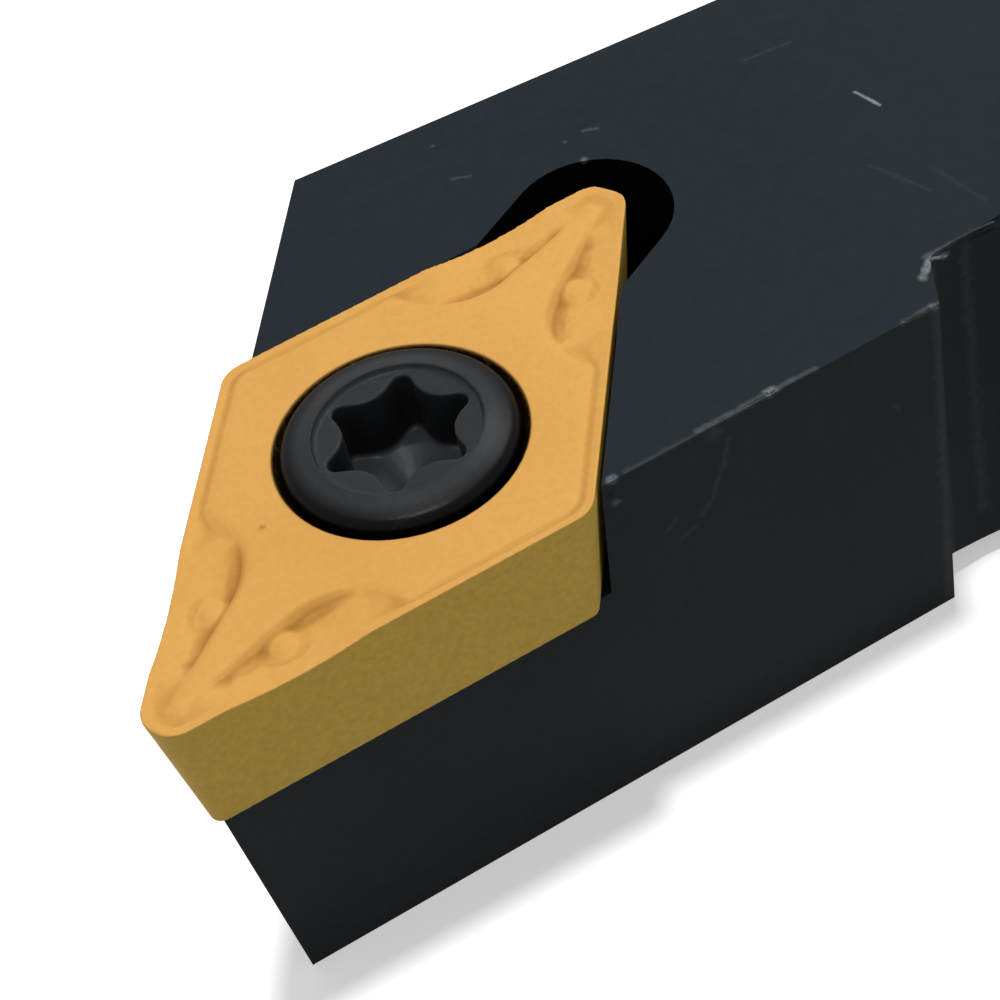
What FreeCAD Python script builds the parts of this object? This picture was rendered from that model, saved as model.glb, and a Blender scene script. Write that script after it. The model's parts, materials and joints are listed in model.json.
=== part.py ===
import FreeCAD, Part
import math
import os
import Sketcher

# A right-hand external turning tool holder with a square shank. A 55 degree diamond insert sits in an
# open pocket at the cutting end and is held by one countersunk six-lobe screw.
# The shank runs along Y with the cutting end at -Y, the cutting side is +X and the base is at Z = 0.
# X = 0 is the middle of the shank and Y = 0 is half the overall length. Lengths are in millimetres,
# angles in degrees.
driving = [
    # holder
    ("shank_height", 12),
    ("shank_width", 12),
    ("overall_length", 100),
    ("nose_offset", 16),          # from the back side of the shank to the cutting nose
    ("edge_lean", 5),             # between the cutting edge and the shank, 90 degrees plus this is the lead angle
    ("head_length", 21.2),        # from the cutting nose to the foot of the step behind the head
    ("step_lean", 22),            # the step's angle from square to the shank
    ("step_fillet", 0.4),
    ("neck_flare", 0.15),         # the shank is this much wider at the foot of the step
    ("neck_run", 1.1),
    ("wall_inset", 0.6),          # the head's side and front stay this far inside the insert's edges
    ("side_relief", 4),
    ("front_relief", 1),
    ("edge_chamfer", 0.25),
    ("base_chamfer", 0.8),        # along the shank's lower edge on the cutting side
    ("end_chamfer", 0.8),
    # pocket
    ("edge_rise", 0.1),           # the insert stands this far above the holder's top
    ("pocket_draft", 5),
    ("feed_wall_gap", 0.03),      # behind the insert, at the wall that takes the feed force
    ("rear_wall_gap", 0.1),       # at the wall towards the shank
    ("relief_radius", 2.1),
    ("relief_reach", 8.4),        # from the screw's axis to the middle of the corner relief's round end
    ("relief_floor", 0.5),        # the relief goes this far below the seat
    ("thread_clearance", 0.05),
    ("hole_chamfer", 0.3),
    # insert
    ("inscribed_circle", 9.525),
    ("insert_thickness", 3.97),
    ("corner_angle", 55),
    ("flank_angle", 7),
    ("nose_radius", 0.8),
    ("insert_bore", 4.4),
    ("insert_mouth", 6.2),
    ("mouth_half_angle", 30),
    # moulded chipbreaker
    ("edge_land", 0.05),
    ("rake_angle", 15),
    ("rake_depth", 0.08),
    ("island_inset", 0.42),       # from the cutting edge to the raised middle
    ("island_depth", 0.5),
    ("island_draft", 38),
    ("island_corner", 0.3),
    ("spine_reach", 8.5),         # from the screw's axis to the middle of the spine's round tip
    ("spine_tip_radius", 0.12),
    ("scallop_radius", 2.1),
    ("scallop_along", 5.93),      # the scallop's centre, along and across the long diagonal
    ("scallop_across", 2.72),
    ("scoop_radius", 10),
    ("scoop_dip", 0.15),          # the cutting edge dips this far at the middle of a scoop
    ("scoop_place", 4.2),         # from the sharp corner along the edge to the middle of a scoop
    ("scoop_fall", 7),
    ("scoop_length", 1.9),        # inwards from the cutting edge
    ("bump_radius", 0.6),
    ("bump_drop", 0.1),          # the bump's top stays this far below the raised middle
    ("bump_along", 6.06),
    ("bump_across", 1.03),
    # screw
    ("thread_diameter", 3.5),
    ("screw_length", 9.7),
    ("head_diameter", 5.76),
    ("head_rise", 0.4),           # the head's top stands this far above the insert
    ("crown_fall", 0.22),         # the head's rim is this much lower than the dish's edge
    ("rim_round_radius", 0.3),
    ("seat_clearance", 0.05),
    ("neck_diameter", 3.0),
    ("neck_length", 0.5),
    ("dish_diameter", 4.1),
    ("dish_depth", 0.16),
    ("lobe_diameter", 3.7),
    ("lobe_radius", 0.25),
    ("tooth_diameter", 2.65),     # across two opposite teeth of the socket
    ("tooth_radius", 0.85),
    ("socket_depth", 1.8),
    ("socket_cone", 0.5),
    ("socket_turn", 35),          # where the lobes stand with the screw tight
    ("screw_end_chamfer", 0.5),
]

doc = FreeCAD.newDocument("turning_tool_holder")
sizes = doc.addObject("Spreadsheet::Sheet", "sizes")
for row, (alias, number) in enumerate(driving, start=1):
    sizes.set(f"A{row}", alias)
    sizes.set(f"B{row}", str(number))
    sizes.setAlias(f"B{row}", alias)
doc.recompute()


def number(expression):
    return float(sizes.evalExpression(expression))


def origin_plane(body, role):
    return next(feature for feature in body.Origin.OriginFeatures if feature.Role == role)


def new_sketch(body, name, role="XY_Plane", place=None):
    sketch = body.newObject("Sketcher::SketchObject", name)
    sketch.AttachmentSupport = [(origin_plane(body, role), "")]
    sketch.MapMode = "FlatFace"
    if place:
        sketch.setExpression("AttachmentOffset", place)
    return sketch


def place_at(x, y, z, yaw="0", pitch="0", roll="0"):
    return f"placement(vector({x}; {y}; {z}); rotation({yaw}; {pitch}; {roll}))"


def constrain(sketch, expression, *constraint):
    index = sketch.addConstraint(Sketcher.Constraint(*constraint, number(expression)))
    sketch.setExpression(f"Constraints[{index}]", expression)


def pin(sketch, geometry, position, x, y):
    # A point on a sketch axis is held by the axis, any other by its two distances from the origin.
    for kind, expression, axis in (("DistanceX", x, -2), ("DistanceY", y, -1)):
        if expression == "0":
            sketch.addConstraint(Sketcher.Constraint("PointOnObject", geometry, position, axis))
        else:
            constrain(sketch, expression, kind, -1, 1, geometry, position)


def polygon(sketch, corners):
    # Straight lines between corners, each corner an (x, y) pair of expressions.
    spots = [FreeCAD.Vector(number(x), number(y), 0) for x, y in corners]
    ends = spots[1:] + spots[:1]
    lines = [sketch.addGeometry(Part.LineSegment(a, b)) for a, b in zip(spots, ends)]
    for line, following in zip(lines, lines[1:] + lines[:1]):
        sketch.addConstraint(Sketcher.Constraint("Coincident", line, 2, following, 1))
    for line, (x, y) in zip(lines, corners):
        pin(sketch, line, 1, x, y)


def tangent_direction(start, start_turn, end, end_turn):
    # The direction of the line that leaves one circle and meets the next, both tangentially.
    # A turn is the circle's radius, positive where the outline bends left.
    between = end - start
    return math.atan2(between.y, between.x) - math.asin((end_turn - start_turn) / between.Length)


def rounded_outline(sketch, arcs):
    # A closed outline of arcs joined by tangent lines, run anticlockwise.
    # Each arc is (x, y, radius, side), with side 1 for an outer corner and -1 for an inner one.
    middles = [FreeCAD.Vector(number(x), number(y), 0) for x, y, _, _ in arcs]
    turns = [number(radius) * side for _, _, radius, side in arcs]
    count = len(arcs)
    headings = []
    for i in range(count):
        following = (i + 1) % count
        headings.append(tangent_direction(middles[i], turns[i], middles[following], turns[following]))
    pieces = []
    starts = []
    ends = []
    for i in range(count):
        side = arcs[i][3]
        enters = headings[i - 1] - side * math.pi / 2
        leaves = headings[i] - side * math.pi / 2
        circle = Part.Circle(middles[i], FreeCAD.Vector(0, 0, 1), abs(turns[i]))
        span = (enters, leaves) if side > 0 else (leaves, enters)
        pieces.append(sketch.addGeometry(Part.ArcOfCircle(circle, *span)))
        starts.append(circle.value(enters))
        ends.append(circle.value(leaves))
    for i in range(count):
        following = (i + 1) % count
        line = sketch.addGeometry(Part.LineSegment(ends[i], starts[following]))
        leaving = 2 if arcs[i][3] > 0 else 1
        entering = 1 if arcs[following][3] > 0 else 2
        sketch.addConstraint(Sketcher.Constraint("Tangent", pieces[i], leaving, line, 1))
        sketch.addConstraint(Sketcher.Constraint("Tangent", line, 2, pieces[following], entering))
    for piece, (x, y, radius, _) in zip(pieces, arcs):
        pin(sketch, piece, 3, x, y)
        constrain(sketch, radius, "Radius", piece)


def pad(body, name, sketch, length, reverse=False, draft=None):
    feature = body.newObject("PartDesign::Pad", name)
    return push(feature, sketch, length, reverse, draft)


def pocket(body, name, sketch, length, reverse=False, draft=None):
    feature = body.newObject("PartDesign::Pocket", name)
    return push(feature, sketch, length, reverse, draft)


def push(feature, sketch, length, reverse, draft):
    feature.Profile = sketch
    feature.setExpression("Length", length)
    feature.Reversed = reverse
    if draft:
        feature.setExpression("TaperAngle", draft)
    return feature


def turn(body, name, kind, sketch):
    # A full turn of a profile in the XZ plane about the vertical axis.
    feature = body.newObject(kind, name)
    feature.Profile = sketch
    feature.ReferenceAxis = (origin_axis(body), [""])
    feature.Angle = 360
    return feature


def origin_axis(body):
    return next(feature for feature in body.Origin.OriginFeatures if feature.Role == "Z_Axis")


# Places of the insert, which its own body and the holder's pocket share. The insert's own frame has its
# origin on the screw's axis in the plane of the cutting edges, with X along the long diagonal from the
# cutting corner to the opposite one.
insert_radius = "sizes.inscribed_circle / 2"
half_corner = "(sizes.corner_angle / 2)"
nose_to_axis = f"(({insert_radius} - sizes.nose_radius) / sin{half_corner})"
diagonal_angle = f"(90 + sizes.edge_lean + {half_corner})"
screw_x = (f"(sizes.nose_offset - sizes.shank_width / 2 - sizes.nose_radius"
           f" + {nose_to_axis} * cos{diagonal_angle})")
screw_y = f"(sizes.nose_radius - sizes.overall_length / 2 + {nose_to_axis} * sin{diagonal_angle})"
edge_height = "(sizes.shank_height + sizes.edge_rise)"
seat_depth = "(sizes.insert_thickness - sizes.edge_rise)"


def rhombus_arcs(inset, radius):
    # The insert's outline, moved in from its edges, with the same radius at its four corners.
    reach = f"(({insert_radius} - {inset} - {radius}) / sin{half_corner})"
    side = f"(({insert_radius} - {inset} - {radius}) / cos{half_corner})"
    return [(reach, "0", radius, 1), ("0", side, radius, 1),
            (f"-{reach}", "0", radius, 1), ("0", f"-{side}", radius, 1)]


# Holder body
holder = doc.addObject("PartDesign::Body", "holder_body")
holder.Label = "holder_body"

wall_normal = "sizes.edge_lean"
front_normal = "(180 + sizes.edge_lean + sizes.corner_angle)"
back_x = "(-sizes.shank_width / 2)"
side_x = "(sizes.shank_width / 2)"
step_x = "(sizes.shank_width / 2 + sizes.neck_flare)"
step_y = "(sizes.head_length - sizes.overall_length / 2)"
rear_y = "(sizes.overall_length / 2)"


def line_meeting(reach_1, angle_1, reach_2, angle_2):
    # Where two lines meet, each given by its distance from the screw's axis and its normal's angle.
    spread = f"sin({angle_2} - {angle_1})"
    return (f"({screw_x} + ({reach_1} * sin({angle_2}) - {reach_2} * sin({angle_1})) / {spread})",
            f"({screw_y} + ({reach_2} * cos({angle_1}) - {reach_1} * cos({angle_2})) / {spread})")


def line_reach(x, y, angle):
    # The distance from the screw's axis to the line through a point with this normal's angle.
    return f"(cos({angle}) * ({x} - {screw_x}) + sin({angle}) * ({y} - {screw_y}))"


wall_reach = f"({insert_radius} - sizes.wall_inset)"
step_normal = "(90 - sizes.step_lean)"
back_reach = line_reach(back_x, "0", "180")
plan_corners = [
    line_meeting(back_reach, "180", wall_reach, front_normal),
    line_meeting(wall_reach, wall_normal, wall_reach, front_normal),
    line_meeting(wall_reach, wall_normal, line_reach(step_x, step_y, step_normal), step_normal),
    (step_x, step_y),
    (side_x, f"{step_y} + sizes.neck_run"),
    (side_x, rear_y),
    (back_x, rear_y)]
plan_outline = new_sketch(holder, "plan_outline", place=place_at("0", "0", "sizes.shank_height"))
polygon(plan_outline, plan_corners)
doc.recompute()
bar = pad(holder, "bar", plan_outline, "sizes.shank_height", reverse=True)
doc.recompute()


def vector(x, y, z):
    return FreeCAD.Vector(number(x), number(y), number(z))


def face_at(feature, point):
    # The name of the face that a point lies on.
    spot = Part.Vertex(point)
    faces = enumerate(feature.Shape.Faces, start=1)
    return next(f"Face{i}" for i, face in faces if face.distToShape(spot)[0] < 1e-4)


def edges_where(feature, wanted):
    return [f"Edge{i}" for i, edge in enumerate(feature.Shape.Edges, start=1) if wanted(edge)]


def between(start, end, height):
    # The middle of a line of the plan, at this height.
    return (vector(*start, height) + vector(*end, height)) / 2


def lean(name, feature, wall_points, angle, reverse):
    # Leans walls as they go down, each found by a point on it, with their top edges left where they are.
    draft = holder.newObject("PartDesign::Draft", name)
    draft.Base = (feature, [face_at(feature, point) for point in wall_points])
    draft.NeutralPlane = (feature, [face_at(feature, vector("0", "0", "sizes.shank_height"))])
    draft.setExpression("Angle", angle)
    draft.Reversed = reverse
    doc.recompute()
    return draft


half_height = "sizes.shank_height / 2"
side_point = between(plan_corners[1], plan_corners[2], half_height)
side_wall = lean("side_wall", bar, [side_point], "sizes.side_relief", True)
front_point = between(plan_corners[0], plan_corners[1], half_height)
front_wall = lean("front_wall", side_wall, [front_point], "sizes.front_relief", True)


def lies_at(edge, axis, place):
    # True where the whole edge has this coordinate, to a micrometre.
    return all(abs(getattr(vertex.Point, axis) - place) < 1e-3 for vertex in edge.Vertexes)


half_width = number(side_x)
half_length = number(rear_y)
top_z = number("sizes.shank_height")
end_break = holder.newObject("PartDesign::Chamfer", "end_break")
end_break.Base = (front_wall, edges_where(front_wall, lambda edge: lies_at(edge, "y", half_length)))
end_break.setExpression("Size", "sizes.end_chamfer")
doc.recompute()


def is_long_edge(edge):
    on_side = lies_at(edge, "x", half_width) or lies_at(edge, "x", -half_width)
    on_face = lies_at(edge, "z", 0) or lies_at(edge, "z", top_z)
    return on_side and on_face


edge_break = holder.newObject("PartDesign::Chamfer", "edge_break")
edge_break.Base = (end_break, edges_where(end_break, is_long_edge))
edge_break.setExpression("Size", "sizes.edge_chamfer")
doc.recompute()

step_foot = vector(step_x, step_y, "0")


def is_step_foot(edge):
    return all(math.hypot(v.X - step_foot.x, v.Y - step_foot.y) < 1e-3 for v in edge.Vertexes)


step_round = holder.newObject("PartDesign::Fillet", "step_round")
step_round.Base = (edge_break, edges_where(edge_break, is_step_foot))
step_round.setExpression("Radius", "sizes.step_fillet")
doc.recompute()

# The shank's lower edge on the cutting side is broken from the step to the rear end.
base_edge_profile = new_sketch(holder, "base_edge_profile", "XZ_Plane", place_at("0", "0", f"-{rear_y}"))
outside = f"({step_x} + 1)"
polygon(base_edge_profile, [
    (f"{side_x} - sizes.base_chamfer", "0"),
    (outside, "0"),
    (outside, f"sizes.base_chamfer + {outside} - {side_x}")])
doc.recompute()
base_edge_break = pocket(holder, "base_edge_break", base_edge_profile, f"{rear_y} - {step_y}", reverse=True)
doc.recompute()

# The pocket is open to the front and to the cutting side. Its two walls run along the insert's edges at
# the far acute corner, and lean as the flanks do.
seat_frame = place_at(screw_x, screw_y, "sizes.shank_height", yaw=diagonal_angle)
feed_wall = f"({insert_radius} + sizes.feed_wall_gap)"
rear_wall = f"({insert_radius} + sizes.rear_wall_gap)"
rear_wall_normal = f"({front_normal} - 180)"
feed_wall_normal = f"({wall_normal} + 180)"
far_corner = line_meeting(feed_wall, feed_wall_normal, rear_wall, rear_wall_normal)
open_reach = "(2 * sizes.inscribed_circle)"
left_end = (f"{far_corner[0]} + {open_reach} * sin({wall_normal})",
            f"{far_corner[1]} - {open_reach} * cos({wall_normal})")
right_end = (f"{far_corner[0]} + {open_reach} * sin({rear_wall_normal})",
             f"{far_corner[1]} - {open_reach} * cos({rear_wall_normal})")
outer_corner = (f"{left_end[0]} + {right_end[0]} - {far_corner[0]}",
                f"{left_end[1]} + {right_end[1]} - {far_corner[1]}")
pocket_outline = new_sketch(holder, "pocket_outline", place=place_at("0", "0", "sizes.shank_height"))
polygon(pocket_outline, [far_corner, left_end, outer_corner, right_end])
doc.recompute()
insert_pocket = pocket(holder, "insert_pocket", pocket_outline, seat_depth)
doc.recompute()
wall_height = f"sizes.shank_height - {seat_depth} / 2"
near_left = (f"{far_corner[0]} + 2 * sin({wall_normal})", f"{far_corner[1]} - 2 * cos({wall_normal})")
near_right = (f"{far_corner[0]} + 2 * sin({rear_wall_normal})", f"{far_corner[1]} - 2 * cos({rear_wall_normal})")
wall_points = [vector(*near_left, wall_height), vector(*near_right, wall_height)]
pocket_walls = lean("pocket_walls", insert_pocket, wall_points, "sizes.pocket_draft", False)

# The corner relief keeps the insert's far nose clear of the pocket's corner.
relief_outline = new_sketch(holder, "relief_outline", place=seat_frame)
rounded_outline(relief_outline, [
    ("sizes.relief_reach", "0", "sizes.relief_radius", 1),
    ("sizes.relief_reach - sizes.relief_radius", "0", "sizes.relief_radius", 1)])
doc.recompute()
corner_relief = pocket(holder, "corner_relief", relief_outline, f"{seat_depth} + sizes.relief_floor")
doc.recompute()

# The tapped hole runs through to the base and has a small chamfer at both mouths.
tap_radius = "(sizes.thread_diameter / 2 + sizes.thread_clearance)"
seat_height = f"(sizes.shank_height - {seat_depth})"
wide_radius = f"({tap_radius} + 2 * sizes.hole_chamfer)"
tap_profile = new_sketch(holder, "tap_profile", "XZ_Plane")
polygon(tap_profile, [
    ("0", "-sizes.hole_chamfer"),
    (wide_radius, "-sizes.hole_chamfer"),
    (tap_radius, "sizes.hole_chamfer"),
    (tap_radius, f"{seat_height} - sizes.hole_chamfer"),
    (wide_radius, f"{seat_height} + sizes.hole_chamfer"),
    ("0", f"{seat_height} + sizes.hole_chamfer")])
tap_profile.setExpression("AttachmentOffset", place_at(screw_x, "0", f"-{screw_y}"))
doc.recompute()
tapped_hole = holder.newObject("PartDesign::Groove", "tapped_hole")
tapped_hole.Profile = tap_profile
tapped_hole.ReferenceAxis = (tap_profile, ["V_Axis"])
tapped_hole.Angle = 360
holder.Tip = tapped_hole
doc.recompute()

# Cutting insert
insert = doc.addObject("PartDesign::Body", "cutting_insert")
insert.Label = "cutting_insert"
blank_outline = new_sketch(insert, "blank_outline")
rounded_outline(blank_outline, rhombus_arcs("0", "sizes.nose_radius"))
doc.recompute()
blank = pad(insert, "blank", blank_outline, "sizes.insert_thickness", reverse=True, draft="-sizes.flank_angle")
doc.recompute()

# The rake face falls inwards from a narrow land all round.
rake_outline = new_sketch(insert, "rake_outline")
rounded_outline(rake_outline, rhombus_arcs("sizes.edge_land", "(sizes.nose_radius - sizes.edge_land)"))
doc.recompute()
rake_face = pocket(insert, "rake_face", rake_outline, "sizes.rake_depth", draft="sizes.rake_angle - 90")
doc.recompute()

# Two scoops at each acute corner dip the cutting edge. Each is a round-bottomed channel square to the
# edge that falls inwards.
edge_angle = f"(180 - {half_corner})"
scoop_x = f"({insert_radius} / sin{half_corner} - sizes.scoop_place * cos{half_corner})"
scoop_y = f"(sizes.scoop_place * sin{half_corner})"
scoop = insert.newObject("PartDesign::SubtractiveCylinder", "scoop")
scoop.AttachmentSupport = [(origin_plane(insert, "XY_Plane"), "")]
scoop.MapMode = "FlatFace"
scoop.setExpression("Radius", "sizes.scoop_radius")
scoop.setExpression("Height", "2 * sizes.scoop_length")
scoop_place = (
    f"placement(vector({scoop_x}; {scoop_y}; -sizes.scoop_dip); rotation({edge_angle}; 0; 0))"
    f" * placement(vector(0; 0; 0); rotation(0; 0; -sizes.scoop_fall))"
    f" * placement(vector(0; 0; sizes.scoop_radius); rotation(0; 0; 90))"
    f" * placement(vector(0; 0; -sizes.scoop_length); rotation(0; 0; 0))")
scoop.setExpression("AttachmentOffset", scoop_place)
doc.recompute()


def four_ways(name, original):
    # Copies a feature across the long diagonal, and both across the short one.
    pattern = insert.newObject("PartDesign::MultiTransform", name)
    pattern.Originals = [original]
    across = insert.newObject("PartDesign::Mirrored", f"{name}_across")
    across.MirrorPlane = (origin_plane(insert, "XZ_Plane"), [""])
    along = insert.newObject("PartDesign::Mirrored", f"{name}_along")
    along.MirrorPlane = (origin_plane(insert, "YZ_Plane"), [""])
    pattern.Transformations = [across, along]
    insert.Tip = pattern
    doc.recompute()
    return pattern


four_ways("scoops", scoop)

# The raised middle: a spine towards each acute corner, scalloped beside the scoops, then parallel to
# the edges. Its walls spread as they go down into the scoops.
shoulder_inset = f"({insert_radius} - sizes.island_inset - sizes.island_corner)"
shoulder_gap = "(sizes.scallop_radius + sizes.island_corner)"
along_edge = f"(sizes.scallop_along * sin{half_corner} + sizes.scallop_across * cos{half_corner})"
across_edge = f"(sizes.scallop_along * cos{half_corner} - sizes.scallop_across * sin{half_corner})"
shoulder_run = f"({across_edge} - sqrt({shoulder_gap}^2 - ({along_edge} - {shoulder_inset})^2) - 0.02)"
shoulder_x = f"({shoulder_inset} * sin{half_corner} + {shoulder_run} * cos{half_corner})"
shoulder_y = f"({shoulder_inset} * cos{half_corner} - {shoulder_run} * sin{half_corner})"
blunt_radius = "(sizes.nose_radius - sizes.island_inset / 2)"
blunt_y = f"(({insert_radius} - sizes.island_inset - {blunt_radius}) / cos{half_corner})"
island_outline = new_sketch(insert, "island_outline")
tip = ("sizes.spine_reach", "0", "sizes.spine_tip_radius", 1)
scallop = ("sizes.scallop_along", "sizes.scallop_across", "sizes.scallop_radius", -1)
shoulder = (shoulder_x, shoulder_y, "sizes.island_corner", 1)
blunt = ("0", blunt_y, blunt_radius, 1)


def flipped(arc, over_x=False, over_y=False):
    x, y, radius, side = arc
    return (f"-{x}" if over_x and x != "0" else x, f"-{y}" if over_y and y != "0" else y, radius, side)


upper = [tip, scallop, shoulder, blunt]
left = [flipped(shoulder, over_x=True), flipped(scallop, over_x=True), flipped(tip, over_x=True)]
lower = [flipped(arc, over_x=True, over_y=True) for arc in (scallop, shoulder)]
right = [flipped(arc, over_y=True) for arc in (blunt, shoulder, scallop)]
rounded_outline(island_outline, upper + left + lower + right)
doc.recompute()
island = pad(insert, "island", island_outline, "sizes.island_depth", reverse=True,
             draft="sizes.island_draft")
doc.recompute()

bump = insert.newObject("PartDesign::AdditiveSphere", "bump")
bump.AttachmentSupport = [(origin_plane(insert, "XY_Plane"), "")]
bump.MapMode = "FlatFace"
bump.setExpression("Radius", "sizes.bump_radius")
bump.setExpression("AttachmentOffset", place_at(
    "sizes.bump_along", "sizes.bump_across", "-sizes.bump_drop - sizes.bump_radius"))
doc.recompute()
four_ways("bumps", bump)

# The hole for the screw opens in a cone that the head sits in.
bore_radius = "(sizes.insert_bore / 2)"
mouth_radius = "(sizes.insert_mouth / 2)"
mouth_slope = "tan(sizes.mouth_half_angle)"
mouth_depth = f"(({mouth_radius} - {bore_radius}) / {mouth_slope})"
over = "sizes.head_rise"
hole_profile = new_sketch(insert, "hole_profile", "XZ_Plane")
polygon(hole_profile, [
    ("0", f"-sizes.insert_thickness - {over}"),
    (bore_radius, f"-sizes.insert_thickness - {over}"),
    (bore_radius, f"-{mouth_depth}"),
    (f"{mouth_radius} + {over} * {mouth_slope}", over),
    ("0", over)])
doc.recompute()
insert_hole = turn(insert, "insert_hole", "PartDesign::Groove", hole_profile)
insert.Tip = insert_hole
insert.setExpression("Placement", place_at(screw_x, screw_y, edge_height, yaw=diagonal_angle))
doc.recompute()

# Clamp screw: its own frame has the insert's origin, with a lobe of the socket along X.
screw = doc.addObject("PartDesign::Body", "clamp_screw")
screw.Label = "clamp_screw"
thread_radius = "(sizes.thread_diameter / 2)"
neck_radius = "(sizes.neck_diameter / 2)"
head_radius = "(sizes.head_diameter / 2)"
dish_radius = "(sizes.dish_diameter / 2)"
dish_floor = "(sizes.head_rise - sizes.dish_depth)"
cone_mouth = f"({mouth_radius} - sizes.seat_clearance)"
rim_top = "(sizes.head_rise - sizes.crown_fall)"
rim_bottom = f"(({head_radius} - {cone_mouth}) / {mouth_slope})"
cone_bottom = f"(({neck_radius} - {cone_mouth}) / {mouth_slope})"
thread_top = f"({cone_bottom} - sizes.neck_length)"
screw_end = "(sizes.head_rise - sizes.screw_length)"
screw_profile = new_sketch(screw, "screw_profile", "XZ_Plane")
polygon(screw_profile, [
    ("0", screw_end),
    (f"{thread_radius} - sizes.screw_end_chamfer", screw_end),
    (thread_radius, f"{screw_end} + sizes.screw_end_chamfer"),
    (thread_radius, f"{thread_top} - ({thread_radius} - {neck_radius})"),
    (neck_radius, thread_top),
    (neck_radius, cone_bottom),
    (head_radius, rim_bottom),
    (head_radius, rim_top),
    (dish_radius, "sizes.head_rise"),
    (dish_radius, dish_floor),
    ("0", dish_floor)])
doc.recompute()
shank = turn(screw, "shank", "PartDesign::Revolution", screw_profile)
doc.recompute()

rim_radius = number(head_radius)
rim_height = number(rim_top)


def is_rim(edge):
    at_height = all(abs(vertex.Z - rim_height) < 1e-3 for vertex in edge.Vertexes)
    return at_height and hasattr(edge.Curve, "Radius") and abs(edge.Curve.Radius - rim_radius) < 1e-3


rim_round = screw.newObject("PartDesign::Fillet", "rim_round")
rim_round.Base = (shank, edges_where(shank, is_rim))
rim_round.setExpression("Radius", "sizes.rim_round_radius")
doc.recompute()

# The six-lobe socket has a shallow conical floor.
lobe_reach = "(sizes.lobe_diameter / 2 - sizes.lobe_radius)"
tooth_reach = "(sizes.tooth_diameter / 2 + sizes.tooth_radius)"


def polar(reach, angle):
    # A point at this distance and angle, with a plain 0 where a coordinate vanishes.
    x = "0" if angle in (90, 270) else f"{reach} * cos({angle})"
    y = "0" if angle in (0, 180) else f"{reach} * sin({angle})"
    return x, y


star = []
for angle in range(0, 360, 60):
    star.append((*polar(lobe_reach, angle), "sizes.lobe_radius", 1))
    star.append((*polar(tooth_reach, angle + 30), "sizes.tooth_radius", -1))
socket_outline = new_sketch(screw, "socket_outline", place=place_at("0", "0", dish_floor))
rounded_outline(socket_outline, star)
doc.recompute()
socket = pocket(screw, "socket", socket_outline, "sizes.socket_depth")
doc.recompute()
socket_floor = f"({dish_floor} - sizes.socket_depth)"
floor_profile = new_sketch(screw, "floor_profile", "XZ_Plane")
polygon(floor_profile, [
    ("0", f"{socket_floor} - sizes.socket_cone"),
    ("sizes.tooth_diameter / 2", socket_floor),
    ("0", socket_floor)])
doc.recompute()
screw.Tip = turn(screw, "socket_end", "PartDesign::Groove", floor_profile)
screw.setExpression("Placement", place_at(screw_x, screw_y, edge_height, yaw="sizes.socket_turn"))
doc.recompute()

for thing in doc.Objects:
    if "Invalid" in thing.State or "Error" in thing.State:
        raise RuntimeError(f"{thing.Name} failed: {thing.State}")
os.makedirs("parts", exist_ok=True)
for piece in (holder, insert, screw):
    shape = piece.Shape
    if shape.isNull() or not shape.isValid():
        raise RuntimeError(f"{piece.Label} has no valid shape")
    shape.exportStep(f"parts/{piece.Label}.step")
    box = shape.BoundBox
    print(f"{piece.Label}: {len(shape.Solids)} solid, {shape.Volume:.2f} mm3,"
          f" x {box.XMin:.3f} {box.XMax:.3f}, y {box.YMin:.3f} {box.YMax:.3f}, z {box.ZMin:.3f} {box.ZMax:.3f}")
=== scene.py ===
import bpy
import json
import math
import numpy
import random
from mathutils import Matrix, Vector

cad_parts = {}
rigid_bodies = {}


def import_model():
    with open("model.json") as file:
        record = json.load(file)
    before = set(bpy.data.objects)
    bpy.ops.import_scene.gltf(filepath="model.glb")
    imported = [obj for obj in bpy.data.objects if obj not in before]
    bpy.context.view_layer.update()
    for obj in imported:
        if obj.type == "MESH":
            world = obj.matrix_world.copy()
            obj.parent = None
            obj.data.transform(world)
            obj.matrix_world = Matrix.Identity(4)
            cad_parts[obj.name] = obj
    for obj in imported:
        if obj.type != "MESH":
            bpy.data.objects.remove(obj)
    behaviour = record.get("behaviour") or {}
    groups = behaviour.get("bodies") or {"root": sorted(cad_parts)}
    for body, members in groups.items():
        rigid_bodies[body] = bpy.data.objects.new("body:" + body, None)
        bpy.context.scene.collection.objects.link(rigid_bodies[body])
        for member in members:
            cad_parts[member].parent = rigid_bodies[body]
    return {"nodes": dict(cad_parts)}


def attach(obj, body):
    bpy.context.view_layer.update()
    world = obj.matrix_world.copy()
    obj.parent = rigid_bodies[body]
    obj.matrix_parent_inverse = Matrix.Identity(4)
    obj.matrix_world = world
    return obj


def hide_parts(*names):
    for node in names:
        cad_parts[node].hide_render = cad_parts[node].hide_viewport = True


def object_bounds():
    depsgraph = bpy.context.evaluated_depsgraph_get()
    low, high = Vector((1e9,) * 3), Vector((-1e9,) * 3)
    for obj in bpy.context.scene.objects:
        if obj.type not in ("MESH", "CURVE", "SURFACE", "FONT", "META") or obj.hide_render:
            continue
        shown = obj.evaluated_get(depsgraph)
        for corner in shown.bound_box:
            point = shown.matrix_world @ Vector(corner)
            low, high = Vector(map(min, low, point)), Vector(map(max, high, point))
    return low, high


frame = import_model()
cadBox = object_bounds()
print("frame loaded:", ", ".join(sorted(frame["nodes"])))

mm = 0.001
mergeDistance = 0.002 * mm
scene = bpy.context.scene
screwAxis = (4.58916, -41.96241)  # millimetres


def deselectAll():
    bpy.ops.object.select_all(action="DESELECT")


def makeActive(piece):
    deselectAll()
    piece.select_set(True)
    bpy.context.view_layer.objects.active = piece


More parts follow.
